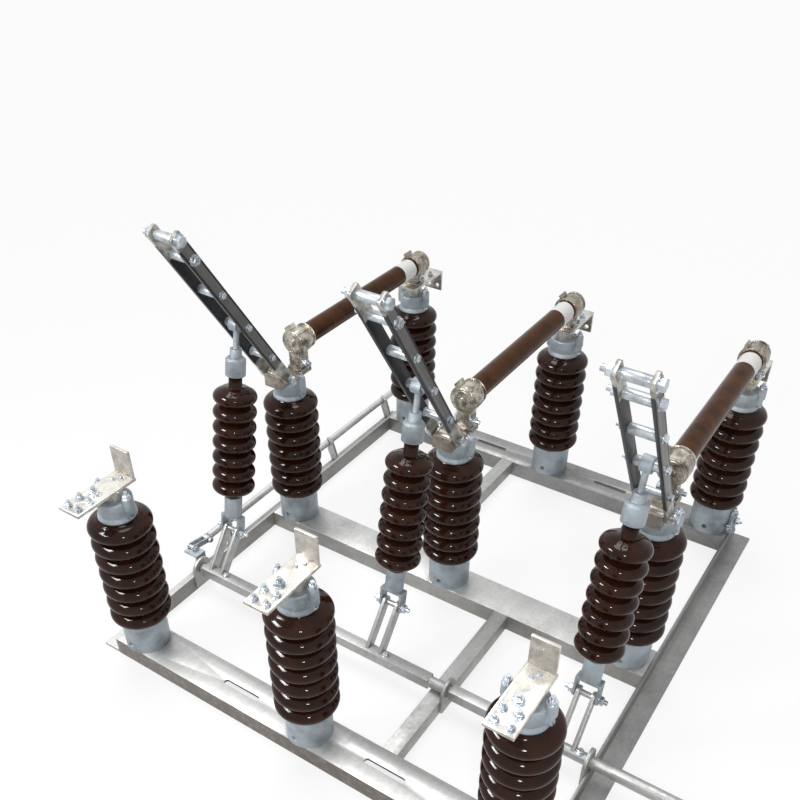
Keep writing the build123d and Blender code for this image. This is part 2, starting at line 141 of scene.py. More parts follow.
# ---------------------------------------------------------------- user settings
class SwitchSizes(bpy.types.PropertyGroup):
    """Sizes of what is added to the plain model."""

    shed_sides: bpy.props.IntProperty(
        name="Shed sides", description="Flat sides round each insulator", default=72, min=24, max=128
    )
    shed_count: bpy.props.IntProperty(name="Sheds", description="Sheds on each insulator", default=7, min=1)
    post_pitch: bpy.props.FloatProperty(
        name="Post shed pitch", description="From one post shed to the next", default=0.0319, unit="LENGTH"
    )
    pull_pitch: bpy.props.FloatProperty(
        name="Pull shed pitch", description="From one pull shed to the next", default=0.0298, unit="LENGTH"
    )
    edge: bpy.props.FloatProperty(
        name="Edge rounding", description="Rounding of sheared and cast edges", default=0.0008, unit="LENGTH"
    )
    small_bolt: bpy.props.FloatProperty(
        name="Small bolt", description="Centre to corner of an M6 hexagon", default=0.0058, unit="LENGTH"
    )
    large_bolt: bpy.props.FloatProperty(
        name="Large bolt", description="Centre to corner of an M8 hexagon", default=0.0078, unit="LENGTH"
    )
    label_length: bpy.props.FloatProperty(
        name="Label length", description="Blank label round each fuse", default=0.042, unit="LENGTH"
    )


class SwitchColours(bpy.types.PropertyGroup):
    """Colours of the finishes."""

    glaze: bpy.props.FloatVectorProperty(
        name="Glaze", description="Brown glaze", subtype="COLOR", default=(0.026, 0.0080, 0.0042)
    )
    zinc: bpy.props.FloatVectorProperty(
        name="Zinc", description="Hot-dip galvanised steel", subtype="COLOR", default=(0.52, 0.525, 0.515)
    )
    casting: bpy.props.FloatVectorProperty(
        name="Casting", description="Galvanised castings", subtype="COLOR", default=(0.29, 0.33, 0.36)
    )
    tin: bpy.props.FloatVectorProperty(
        name="Tin", description="Plated contacts and terminals", subtype="COLOR", default=(0.62, 0.60, 0.55)
    )
    copper: bpy.props.FloatVectorProperty(
        name="Copper", description="Bare hinge brackets", subtype="COLOR", default=(0.29, 0.262, 0.228)
    )
    blade: bpy.props.FloatVectorProperty(
        name="Blade", description="Dark faces of the blades", subtype="COLOR", default=(0.018, 0.019, 0.022)
    )
    floor: bpy.props.FloatVectorProperty(
        name="Floor", description="Floor and backdrop", subtype="COLOR", default=(0.89, 0.89, 0.89)
    )


# ---------------------------------------------------------------- node trees
class Wire:
    """A socket that takes part in arithmetic. node() adds any other node to the same tree."""

    def __init__(self, tree, socket=None):
        self.tree, self.socket = tree, socket

    def node(self, kind, settings=None, inputs=None, out=0):
        """A node of that kind. Its settings come first, then its sockets' values or links."""
        node = self.tree.nodes.new(kind)
        for name, value in (settings or {}).items():
            if name == "points":
                curve = node.mapping.curves[0]
                for place in value[1:-1]:
                    curve.points.new(*place)
                curve.points[0].location, curve.points[-1].location = value[0], value[-1]
                node.mapping.update()
            else:
                setattr(node, name, value)
        for name, value in (inputs or {}).items():
            if isinstance(value, Wire):
                self.tree.links.new(value.socket, node.inputs[name])
            else:
                node.inputs[name].default_value = value
        return Wire(self.tree, node.outputs[out]) if len(node.outputs) else Wire(self.tree, None)

    def out(self, name):
        """Another output of this socket's node."""
        return Wire(self.tree, self.socket.node.outputs[name])

    def calc(self, operation, first, second=0.0):
        """One Math node."""
        return self.node("ShaderNodeMath", {"operation": operation}, {0: first, 1: second})

    def mix(self, factor, first, second):
        """One colour over another."""
        return self.node("ShaderNodeMix", {"data_type": "RGBA"}, {0: factor, 6: first, 7: second}, out=2)

    def __add__(self, other):
        return self.calc("ADD", self, other)

    def __sub__(self, other):
        return self.calc("SUBTRACT", self, other)

    def __mul__(self, other):
        return self.calc("MULTIPLY", self, other)

    def __truediv__(self, other):
        return self.calc("DIVIDE", self, other)

    def __gt__(self, other):
        return self.calc("GREATER_THAN", self, other)

    def __lt__(self, other):
        return self.calc("LESS_THAN", self, other)

    def __rsub__(self, other):
        return self.calc("SUBTRACT", other, self)

    __radd__ = __add__


def rgba(colour, gain=1.0):
    """A four-value colour, lighter or darker by the gain."""
    return tuple(min(1.0, channel * gain) for channel in colour) + (1.0,)


def noise(place, scale, detail=3.0, roughness=0.55):
    """Soft noise between 0 and 1, about so many grains to the metre."""
    return place.node(
        "ShaderNodeTexNoise",
        {},
        {"Vector": place, "Scale": scale, "Detail": detail, "Roughness": roughness},
    )


def spread(value, start, end):
    """The value's part between start and end, stretched to 0..1."""
    return value.node("ShaderNodeMapRange", {}, {"Value": value, "From Min": start, "From Max": end})


def attribute(start, name):
    """The number that the faces carry under that name."""
    return start.node("ShaderNodeAttribute", {"attribute_name": name}, out="Fac")


def stretched(place, factors):
    """The place, with each axis drawn out by its own factor."""
    return place.node("ShaderNodeVectorMath", {"operation": "MULTIPLY"}, {0: place, 1: factors})


def beyond(place, start, way):
    """How far the place lies beyond start in the direction of way."""
    reach = place.node("ShaderNodeVectorMath", {"operation": "DOT_PRODUCT"}, {0: place, 1: way}, out="Value")
    return reach - start.dot(way)


def looked_at(start):
    """1 for what the camera sees, also by gloss or through glass, and 0 for the light on the object."""
    rays = start.node("ShaderNodeLightPath", out="Is Camera Ray")
    seen = start.calc("MAXIMUM", rays, rays.out("Is Glossy Ray"))
    return start.calc("MAXIMUM", seen, rays.out("Is Transmission Ray"))


def new_material(name):
    """An empty material's tree and its object coordinates."""
    material = bpy.data.materials.new(name)
    material.use_nodes = True
    material.node_tree.nodes.clear()
    start = Wire(material.node_tree)
    return material, start, start.node("ShaderNodeTexCoord", out="Object")


def surface(start, colour, roughness, metallic, height=None, relief=0.0, gloss=0.5):
    """The shader and the output of one finish."""
    sockets = {"Base Color": colour, "Roughness": roughness, "Metallic": metallic}
    sockets["Specular IOR Level"] = gloss
    if height is not None:
        sockets["Normal"] = start.node(
            "ShaderNodeBump", {}, {"Strength": 1.0, "Distance": relief, "Height": height}
        )
    shader = start.node("ShaderNodeBsdfPrincipled", {}, sockets)
    start.node("ShaderNodeOutputMaterial", {}, {"Surface": shader})


def galvanised_steel(name, colour, gain=1.0):
    """Hot-dip zinc with crystals, runs and dull patches, and painted shade in brown on the marked upright
    faces.
    """
    material, start, place = new_material(name)
    crystals = start.node("ShaderNodeTexVoronoi", {}, {"Vector": place, "Scale": 190.0}, out="Color")
    crystal = start.node("ShaderNodeSeparateColor", {}, {"Color": crystals}, out="Red")
    cloud = noise(place, 11.0, 4.0)
    runs = noise(stretched(place, (30.0, 4.0, 30.0)), 3.0, 2.0)
    fine = noise(place, 420.0, 2.0)
    dull = spread(cloud, 0.42, 0.68)
    tone = crystal * 0.2 + dull * 0.45 + runs * 0.35
    paint = start.mix(tone, rgba(colour, 1.36 * gain), rgba(colour, 0.66 * gain))
    # Painted shade: the marked upright faces are darkened towards brown.
    film = attribute(start, "film")
    paint = start.mix(film * (1.0 - runs * 0.5), paint, rgba((0.135, 0.110, 0.090)))
    roughness = 0.34 + crystal * 0.08 + dull * 0.14
    surface(start, paint, roughness, 0.5 - film * 0.3, fine * 0.5 + crystal * 0.2 + runs, 0.00012)
    return material


def cast_zinc(colour):
    """Galvanised casting with a sandy skin."""
    material, start, place = new_material("cast fitting")
    sand = noise(place, 700.0, 3.0, 0.7)
    lumps = noise(place, 130.0, 3.0)
    stain = spread(noise(place, 24.0, 5.0), 0.45, 0.7)
    paint = start.mix(stain * 0.6 + sand * 0.4, rgba(colour, 1.5), rgba(colour, 0.5))
    surface(start, paint, 0.36 + sand * 0.25, 0.4, sand + lumps * 1.5, 0.0006)
    return material


def brown_glaze(name, colour, roughness, gloss):
    """Fired glaze, thin and warm on the high spots and dark where it pooled."""
    material, start, place = new_material(name)
    pools = spread(noise(place, 34.0, 4.0), 0.35, 0.7)
    specks = spread(noise(place, 900.0, 2.0), 0.66, 0.78)
    peel = noise(place, 90.0, 2.0)
    paint = start.mix(pools, rgba(colour, 1.35), rgba(colour, 0.6))
    paint = start.mix(specks * 0.25, paint, rgba((0.12, 0.06, 0.035)))
    surface(start, paint, roughness + pools * 0.05, 0.0, peel, 0.00006, gloss=gloss)
    return material


def blade_metal(dark, bright):
    """Blade bars: black with a paler stripe along the outer faces, plated at the hinge and inside the tips.
    """
    material, start, place = new_material("blade")
    hinge = pivots["centre_blade_hinge"]
    along = beyond(place, hinge, blade_way)
    across = beyond(place, hinge, Vector((0, -blade_way.z, blade_way.y)))
    wobble = noise(place, 90.0, 3.0) * 0.003
    side = attribute(start, "side")
    hinge_end = 1 - spread(along + wobble, *BARE_HINGE)
    inner_tip = spread(along + wobble, *BARE_INSIDE) * (side < -0.5)
    outer_tip = spread(along + wobble, *BARE_TIP)
    bare = start.calc("MAXIMUM", hinge_end, start.calc("MAXIMUM", inner_tip, outer_tip))
    stripe_edge = spread(start.calc("ABSOLUTE", across) + wobble * 0.4, *STRIPE_EDGE)
    stripe = (side > 0.5) * (1 - stripe_edge)
    scratches = noise(stretched(place, (400.0, 24.0, 24.0)), 1.0, 4.0)
    # A paler grey stripe along the middle of each outer face; the inner faces stay black.
    stripe_colour = start.mix(scratches, rgba((0.088, 0.086, 0.082)), rgba((0.19, 0.185, 0.176)))
    painted = start.mix(stripe, rgba(dark), stripe_colour)
    blotches = spread(noise(place, 70.0, 4.0), 0.4, 0.62)
    plated = start.mix(blotches * 0.75 + scratches * 0.25, rgba(bright, 0.9), rgba(bright, 0.28))
    paint = start.mix(bare, painted, plated)
    metallic = 0.05 + stripe * 0.4 + bare * (0.6 - stripe * 0.4)
    surface(start, paint, 0.30 + scratches * 0.12, metallic, scratches, 0.00008, gloss=0.25)
    return material


def plated_metal(name, colour, roughness, metallic, contrast=0.3):
    """Plated or bare metal with handling marks."""
    material, start, place = new_material(name)
    marks = noise(place, 60.0, 5.0, 0.65)
    fine = noise(place, 800.0, 2.0)
    worn = spread(marks, 0.4, 0.66)
    paint = start.mix(worn, rgba(colour, 1.0 + 0.5 * contrast), rgba(colour, 1.0 - 1.2 * contrast))
    # Painted reflection: marked faces are tinted tan-brown; on the fuse clips and end caps the same mark
    # darkens the rear half.
    film = attribute(start, "film")
    paint = start.mix(film * (0.4 + marks * 0.6), paint, rgba((0.20, 0.165, 0.135)))
    surface(start, paint, roughness + worn * 0.14, metallic, fine + marks, 0.00012)
    return material


def blank_paper():
    """Label stock with nothing on it."""
    material, start, place = new_material("blank label")
    fibres = noise(place, 500.0, 3.0)
    paint = start.mix(fibres, rgba((0.80, 0.80, 0.78)), rgba((0.70, 0.70, 0.68)))
    surface(start, paint, 0.42 + fibres * 0.1, 0.0, fibres, 0.00003)
    return material


def studio_floor(colour):
    """Pale floor that glows a little where it is looked at, so that the shadow stays light."""
    material, start, place = new_material("floor")
    cloud = noise(place, 2.0, 3.0)
    paint = start.mix(cloud, rgba(colour, 1.0), rgba(colour, 0.985))
    plain = start.node("ShaderNodeBsdfPrincipled", {}, {"Base Color": paint, "Roughness": 0.9})
    glow = start.node("ShaderNodeEmission", {}, {"Color": (1, 1, 1, 1), "Strength": 1.0})
    mixed = start.node("ShaderNodeMixShader", {}, {0: looked_at(start) * 0.8, 1: plain, 2: glow})
    start.node("ShaderNodeOutputMaterial", {}, {"Surface": mixed})
    return material


finishes = {}


def make_finishes(colours):
    """Every material, by the name of the record's slot or of the piece."""
    finishes.update(
        galvanised_steel=galvanised_steel("galvanised steel", colours.zinc),
        # Painted shade: the same zinc at under half the brightness, for the right rail and the rear beam.
        dull_steel=galvanised_steel("steel with painted shade", colours.zinc, 0.46),
        # The same zinc at about three quarters of the brightness, for the shaft, stringers, levers and
        # brackets.
        worn_steel=galvanised_steel("darker steel", colours.zinc, 0.72),
        cast_fitting=cast_zinc(colours.casting),
        brown_glaze=brown_glaze("brown glaze", colours.glaze, 0.06, 0.17),
        fuse_glaze=brown_glaze("fuse glaze", (0.060, 0.022, 0.0065), 0.16, 0.10),
        dark_blade=blade_metal(colours.blade, colours.tin),
        plated_copper=plated_metal("tinned contact", colours.tin, 0.26, 0.55),
        clip_metal=plated_metal("fuse contact", (0.43, 0.395, 0.335), 0.22, 0.75, 0.65),
        bare_copper=plated_metal("bare copper", colours.copper, 0.34, 0.6, 0.4),
        zinc_tube=plated_metal("zinc tube", (0.43, 0.47, 0.50), 0.3, 0.6, 0.35),
        bolt=plated_metal("zinc bolt", (0.50, 0.54, 0.58), 0.24, 0.85, 0.4),
        label=blank_paper(),
    )


# ---------------------------------------------------------------- meshes
def object_from(name, mesh):
    """A new object in the scene."""
    piece = bpy.data.objects.new(name, mesh)
    bpy.context.scene.collection.objects.link(piece)
    return piece


def object_of(form, name, finish):
    """A finished bmesh as an object with that material."""
    mesh = bpy.data.meshes.new(name)
    form.to_mesh(mesh)
    form.free()
    mesh.materials.append(finish)
    return object_from(name, mesh)


def bake(piece):
    """Turns the piece's modifiers into plain mesh."""
    evaluated = piece.evaluated_get(bpy.context.evaluated_depsgraph_get())
    mesh = bpy.data.meshes.new_from_object(evaluated)
    piece.modifiers.clear()
    piece.data = mesh


def settle(piece, body, replaced=()):
    """Gives a finished piece its body and hides the plain nodes that it stands for."""
    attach(piece, body)
    if replaced:
        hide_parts(*replaced)


def face_marks(name, value_of):
    """Gives every face a number for its finish to read. It is made for soften()."""

    def mark_faces(form):
        layer = form.faces.layers.float.new(name)
        for face in form.faces:
            face[layer] = value_of(face)

    return mark_faces


def soften(node, edge, finish, mark_faces=None):
    """A copy of a CAD node with its sharp edges rounded."""
    form = bmesh.new()
    form.from_mesh(frame["nodes"][node].data)
    bmesh.ops.remove_doubles(form, verts=form.verts, dist=2e-5)
    bmesh.ops.dissolve_limit(form, angle_limit=math.radians(0.6), verts=form.verts, edges=form.edges)
    for face in form.faces:
        face.smooth = True
    if mark_faces:
        mark_faces(form)
    piece = object_of(form, f"{node}_finish", finish)
    rounding = piece.modifiers.new("Rounding", "BEVEL")
    rounding.width, rounding.segments, rounding.limit_method = edge, 2, "ANGLE"
    rounding.angle_limit, rounding.harden_normals = math.radians(35), True
    bake(piece)
    settle(piece, body_of[node], (node,))


def slot_of(node):
    """The record's material slot of a node."""
    return next(part["material_slot"] for part in frame["record"]["subparts"] if part["node"] == node)


def turned(form, profile, foot, way=UP, sides=48):
    """Adds a solid of revolution. Its profile is (radius, height) from foot along way."""
    side = way.orthogonal().normalized()
    front = way.cross(side)
    angles = [2 * math.pi * i / sides for i in range(sides)]
    spokes = [side * math.cos(angle) + front * math.sin(angle) for angle in angles]
    rings = []
    for radius, height in profile:
        on_axis = radius < 1e-7
        reach = [Vector()] if on_axis else [spoke * radius for spoke in spokes]
        rings.append([form.verts.new(foot + way * height + spoke) for spoke in reach])
    for one, two in zip(rings, rings[1:]):
        for i in range(sides):
            j = (i + 1) % sides
            if len(one) == 1:
                corners = (one[0], two[j], two[i])
            elif len(two) == 1:
                corners = (one[i], one[j], two[0])
            else:
                corners = (one[i], one[j], two[j], two[i])
            form.faces.new(corners).smooth = True


def flat_bar(form, start, end, wide, thick):
    """Adds a flat bar from start to end. Its half sizes are the vectors wide and thick."""
    rings = [
        [form.verts.new(spot + i * wide + j * thick) for i, j in ((-1, -1), (1, -1), (1, 1), (-1, 1))]
        for spot in (start, end)
    ]
    form.faces.new(rings[0][::-1])
    form.faces.new(rings[1])
    for i in range(4):
        j = (i + 1) % 4
        form.faces.new((rings[0][i], rings[0][j], rings[1][j], rings[1][i]))


def face_out(form):
    """Turns the faces outwards and keeps edges of 40 degrees or more crisp."""
    bmesh.ops.recalc_face_normals(form, faces=form.faces)
    for edge in form.edges:
        edge.smooth = edge.calc_face_angle(0.0) < math.radians(40)


def turned_piece(name, shapes, finish, sides=48):
    """One object from several turned shapes: (profile in millimetres, foot, way)."""
    form = bmesh.new()
    for profile, foot, way in shapes:
        turned(form, [(r * MM, h * MM) for r, h in profile], foot, way, sides)
    bmesh.ops.remove_doubles(form, verts=form.verts, dist=1e-6)
    face_out(form)
    return object_of(form, name, finish)


def band(radius, width, proud, start=0.0):
    """Closed profile of a raised band round a cylinder, in millimetres."""
    inside, crown, soft = radius - 0.6, radius + proud, 0.35 * proud
    return [
        (inside, start),
        (crown - soft, start),
        (crown, start + soft),
        (crown, start + width - soft),
        (crown - soft, start + width),
        (inside, start + width),
        (inside, start),
    ]


# ---------------------------------------------------------------- geometry trees
def geometry_tree(name, inputs):
    """A geometry tree with named inputs, and the wire to start from."""
    tree = bpy.data.node_groups.new(name, "GeometryNodeTree")
    tree.interface.new_socket(name="Geometry", in_out="INPUT", socket_type="NodeSocketGeometry")
    tree.interface.new_socket(name="Geometry", in_out="OUTPUT", socket_type="NodeSocketGeometry")
    for label, kind, default in inputs:
        socket = tree.interface.new_socket(name=label, in_out="INPUT", socket_type=kind)
        if default is not None:
            socket.default_value = default
    return tree, Wire(tree).node("NodeGroupInput", out="Geometry")


def place_and_finish(points, part, rotation, scale, finish):
    """Puts the part on every point, makes it real and gives it its material."""
    copies = points.node(
        "GeometryNodeInstanceOnPoints",
        {},
        {"Points": points, "Instance": part, "Rotation": rotation, "Scale": scale},
    )
    real = points.node("GeometryNodeRealizeInstances", {}, {"Geometry": copies})
    done = points.node("GeometryNodeSetMaterial", {}, {"Geometry": real, "Material": finish})
    points.node("NodeGroupOutput", {}, {"Geometry": done})


# One shed from root to root: part of the way, reach from core to rim, and part of the pitch climbed.
SHED_OUTLINE = [
    (0.0, 0.0, 0.0), (0.06, 0.08, 0.015), (0.12, 0.3, 0.045), (0.19, 0.56, 0.1),
    (0.26, 0.78, 0.185), (0.33, 0.925, 0.29), (0.4, 0.99, 0.39), (0.45, 1.0, 0.46),
    (0.51, 0.985, 0.535), (0.58, 0.92, 0.625), (0.65, 0.8, 0.715), (0.73, 0.6, 0.8),
    (0.81, 0.34, 0.875), (0.88, 0.12, 0.93), (0.94, 0.02, 0.97), (1.0, 0.0, 1.0),
]
SHED_WIDEST = 0.46  # part of the pitch at which a shed is widest


def shed_tree():
    """Stacks the sheds of an insulator from one shed's outline, on every point."""
    tree, points = geometry_tree(
        "Insulator sheds",
        [
            ("Sheds", "NodeSocketInt", 8),
            ("Sides", "NodeSocketInt", 72),
            ("Pitch", "NodeSocketFloat", 0.025),
            ("First", "NodeSocketFloat", 0.0),
            ("Core radius", "NodeSocketFloat", 0.027),
            ("Shed radius", "NodeSocketFloat", 0.053),
            ("Bottom", "NodeSocketFloat", 0.0),
            ("Neck radius", "NodeSocketFloat", 0.02),
            ("Length", "NodeSocketFloat", 0.2),
            ("Lean", "NodeSocketFloat", 0.0),
            ("Finish", "NodeSocketMaterial", None),
        ],
    )
    sheds, sides, pitch = points.out("Sheds"), points.out("Sides"), points.out("Pitch")
    sheet = points.node(
        "GeometryNodeMeshGrid",
        {},
        {"Size X": 1.0, "Size Y": 1.0, "Vertices X": sides + 1, "Vertices Y": sheds * 24 + 1},
    )
    place = points.node("GeometryNodeInputPosition")
    split = points.node("ShaderNodeSeparateXYZ", {}, {"Vector": place})
    turn = (split + 0.5) * (2 * math.pi)
    passed = (split.out("Y") + 0.5) * sheds
    step = points.calc("FLOOR", passed - 0.0001)
    part = passed - step
    reaches = [(along, reach) for along, reach, _ in SHED_OUTLINE]
    climbs = [(along, climb) for along, _, climb in SHED_OUTLINE]
    outline = points.node("ShaderNodeFloatCurve", {"points": reaches}, {"Value": part})
    rise = points.node("ShaderNodeFloatCurve", {"points": climbs}, {"Value": part})
    inside = points.calc("COMPARE", split.out("Y"), 0.0)
    inside.socket.node.inputs[2].default_value = 0.49999
    core, rim = points.out("Core radius"), points.out("Shed radius")
    height = points.out("First") + (step + rise) * pitch
    radius = (core + outline * (rim - core)) * inside
    spot = points.node(
        "ShaderNodeCombineXYZ",
        {},
        {
            "X": radius * points.calc("COSINE", turn),
            "Y": radius * points.calc("SINE", turn),
            "Z": points.calc("MAXIMUM", height, points.out("Bottom")),
        },
    )
    stack = points.node("GeometryNodeSetPosition", {}, {"Geometry": sheet, "Position": spot})
    stack = points.node("GeometryNodeMergeByDistance", {}, {"Geometry": stack, "Distance": 1e-6})
    stack = points.node("GeometryNodeFlipFaces", {}, {"Mesh": stack})
    neck = points.node(
        "GeometryNodeMeshCylinder",
        {},
        {"Vertices": sides, "Radius": points.out("Neck radius"), "Depth": points.out("Length")},
    )
    lift = points.node("ShaderNodeCombineXYZ", {}, {"Z": points.out("Length") / 2})
    neck = points.node("GeometryNodeTransform", {}, {"Geometry": neck, "Translation": lift})
    joined = points.node("GeometryNodeJoinGeometry", {}, {"Geometry": stack})
    tree.links.new(neck.socket, joined.socket.node.inputs[0])
    smooth = points.node("GeometryNodeSetShadeSmooth", {}, {"Geometry": joined})
    tilt = points.node("ShaderNodeCombineXYZ", {}, {"X": points.out("Lean")})
    place_and_finish(points, smooth, tilt, (1.0, 1.0, 1.0), points.out("Finish"))
    return tree


def fastener_tree():
    """A hexagon with a washer, and a threaded end where the points ask for one."""
    tree, points = geometry_tree(
        "Fasteners",
        [
            ("Hexagon height", "NodeSocketFloat", 0.78),
            ("Washer radius", "NodeSocketFloat", 1.22),
            ("Washer height", "NodeSocketFloat", 0.22),
            ("Thread radius", "NodeSocketFloat", 0.5),
            ("Thread height", "NodeSocketFloat", 0.6),
            ("Seed", "NodeSocketInt", 4),
            ("Finish", "NodeSocketMaterial", None),
        ],
    )

    def stacked(kind, sockets, start, depth):
        shape = points.node(kind, {}, sockets | {"Depth": depth})
        centred = 0.0 if kind == "GeometryNodeMeshCone" else depth / 2
        lift = points.node("ShaderNodeCombineXYZ", {}, {"Z": start + centred})
        return points.node("GeometryNodeTransform", {}, {"Geometry": shape, "Translation": lift})

    washer_top, height = points.out("Washer height"), points.out("Hexagon height")
    parts = [
        stacked(
            "GeometryNodeMeshCylinder",
            {"Vertices": 28, "Radius": points.out("Washer radius")},
            0.0,
            washer_top * 0.5,
        ),
        stacked(
            "GeometryNodeMeshCylinder", {"Vertices": 24, "Radius": 0.96}, washer_top * 0.5, washer_top * 0.6
        ),
        stacked("GeometryNodeMeshCylinder", {"Vertices": 6, "Radius": 1.0}, washer_top, height * 0.86),
        stacked(
            "GeometryNodeMeshCone",
            {"Vertices": 6, "Radius Bottom": 1.0, "Radius Top": 0.86},
            washer_top + height * 0.86,
            height * 0.14,
        ),
        stacked(
            "GeometryNodeMeshCylinder",
            {"Vertices": 16, "Radius": points.out("Thread radius")},
            washer_top + height * 0.9,
            points.out("Thread height"),
        ),
    ]
    joined = points.node("GeometryNodeJoinGeometry", {}, {"Geometry": parts[0]})
    for part in parts[1:]:
        tree.links.new(part.socket, joined.socket.node.inputs[0])
    aim = points.node("GeometryNodeInputNamedAttribute", {"data_type": "FLOAT_VECTOR"}, {"Name": "aim"})
    size = points.node("GeometryNodeInputNamedAttribute", {"data_type": "FLOAT"}, {"Name": "size"})
    turn = points.node(
        "FunctionNodeRandomValue", {"data_type": "FLOAT"}, {"Seed": points.out("Seed")}, out=1
    )
    spin = points.node("ShaderNodeCombineXYZ", {}, {"Z": turn * math.pi})
    aligned = points.node("FunctionNodeAlignRotationToVector", {"axis": "Z"}, {"Vector": aim})
    turned_round = points.node(
        "FunctionNodeRotateRotation", {"rotation_space": "LOCAL"}, {"Rotation": aligned, "Rotate By": spin}
    )
    place_and_finish(points, joined, turned_round, size, points.out("Finish"))
    return tree


def grow(name, tree, points, inputs, attributes=()):
    """Runs a geometry tree on a mesh of loose points and keeps the result as plain mesh."""
    mesh = bpy.data.meshes.new(name)
    mesh.from_pydata([tuple(point) for point in points], [], [])
    for label, kind, key, values in attributes:
        mesh.attributes.new(label, kind, "POINT").data.foreach_set(key, values)
    piece = object_from(name, mesh)
    builder = piece.modifiers.new("Build", "NODES")
    builder.node_group = tree
    for socket in tree.interface.items_tree:
        if socket.in_out == "INPUT" and socket.name in inputs:
            builder[socket.identifier] = inputs[socket.name]
    bake(piece)
    return piece


trees = {}


def fasten(name, body, bolts, thread=0.0, finish="bolt"):
    """Bolts on one body: each is (foot, way out, corner radius)."""
    trees.setdefault("fastener", fastener_tree())
    aims = [value for _, way, _ in bolts for value in way]
    sizes = [size for _, _, size in bolts]
    piece = grow(
        name,
        trees["fastener"],
        [foot for foot, _, _ in bolts],
        {"Thread height": thread, "Finish": finishes[finish]},
        [("aim", "FLOAT_VECTOR", "vector", aims), ("size", "FLOAT", "value", sizes)],
    )
    settle(piece, body)


# ---------------------------------------------------------------- operators
class DressOperator(bpy.types.Operator):
    """Shared settings of the dressing steps."""

    bl_options = {"REGISTER", "UNDO"}

    @property
    def sizes(self):
        return bpy.context.scene.switch_sizes

    @property
    def colours(self):
        return bpy.context.scene.switch_colours


class MixFinishes(DressOperator):
    """Makes every material and gives the plain nodes theirs."""

    bl_idname = "switch.mix_finishes"
    bl_label = "Mix finishes"

    def execute(self, context):
        make_finishes(self.colours)
        for node, piece in frame["nodes"].items():
            piece.data.materials.clear()
            piece.data.materials.append(finishes[slot_of(node)])
        return {"FINISHED"}


class BuildInsulators(DressOperator):
    """Posts and pull insulators with rounded sheds."""

    bl_idname = "switch.build_insulators"
    bl_label = "Build insulators"

    def execute(self, context):
        tree = shed_tree()
        sizes = self.sizes
        common = {"Sheds": sizes.shed_count, "Sides": sizes.shed_sides, "Finish": finishes["brown_glaze"]}
        for row in ROWS:
            names = [f"{row}_{pole}_porcelain" for pole in POLES]
            foot_z = low(names[0]).z
            length = high(names[0]).z - foot_z
            posts = common | {
                "Pitch": sizes.post_pitch,
                "First": 0.008 - SHED_WIDEST * sizes.post_pitch,
                "Core radius": 0.036,
                "Shed radius": 0.053,
                "Bottom": 0.0,
                "Neck radius": 0.031,
                "Length": length,
            }
            feet = [(pole_x[pole], row_y[row], foot_z) for pole in POLES]
            piece = grow(f"{row}_post_sheds", tree, feet, posts)
            settle(piece, body_of[names[0]], names)
        for pole in POLES:
            name = f"{pole}_pull_porcelain"
            foot = clevis_of(pole) + pull_way * PULL_FOOT
            pulls = common | {
                "Pitch": sizes.pull_pitch,
                "First": 0.0245 - SHED_WIDEST * sizes.pull_pitch,
                "Core radius": 0.024,
                "Shed radius": 0.0395,
                "Bottom": 0.014,
                "Neck radius": 0.012,
                "Length": 0.243,
                "Lean": -math.atan2(pull_way.y, pull_way.z),
            }
            piece = grow(f"{pole}_pull_sheds", tree, [foot], pulls)
            settle(piece, body_of[name], (name,))
        return {"FINISHED"}


class DressSteelwork(DressOperator):
    """Frame, shaft and castings with rounded edges."""

    bl_idname = "switch.dress_steelwork"
    bl_label = "Dress steelwork"

    def execute(self, context):
        # Painted shade: the upright faces get the brown darkening, at each piece's own strength.
        for node, strength in STEEL_PAINTED_SHADE.items():
            film = face_marks("film", lambda face, s=strength: s if abs(face.normal.z) < 0.3 else 0.0)
            finish = "galvanised_steel"
            # Painted shade: the right rail and the rear beam take the darker copy of the zinc.
            if node in ("right_rail", "rear_beam"):
                finish = "dull_steel"
            elif "beam" not in node:
                finish = "worn_steel"
            soften(node, self.sizes.edge, finishes[finish], film)
        for row in ROWS:
            soften(f"{row}_post_bases", 1.6 * self.sizes.edge, finishes["cast_fitting"])
            caps = f"{row}_post_caps"
            soften(caps, 1.2 * self.sizes.edge, finishes["cast_fitting"])
            feet = [Vector((pole_x[pole], row_y[row], low(caps).z)) for pole in POLES]
            ear_top, stud_top = middle(caps).z + 6.5 * MM, high(caps).z + STUD_RISE
            tall = (stud_top - ear_top) / MM
            stud = [(0, 0), (8.6, 0), (8.2, tall - 1), (7.2, tall), (0, tall)]
            studs = [Vector((foot.x + i * EAR_REACH, foot.y, ear_top)) for foot in feet for i in (-1, 1)]
            shapes = [(CAP_LIP, foot, UP) for foot in feet] + [(stud, foot, UP) for foot in studs]
            lips = turned_piece(f"{row}_cap_lips", shapes, finishes["cast_fitting"])
            settle(lips, body_of[caps])
        for pole in POLES:
            soften(f"{pole}_pull_fittings", self.sizes.edge, finishes["cast_fitting"])
        return {"FINISHED"}


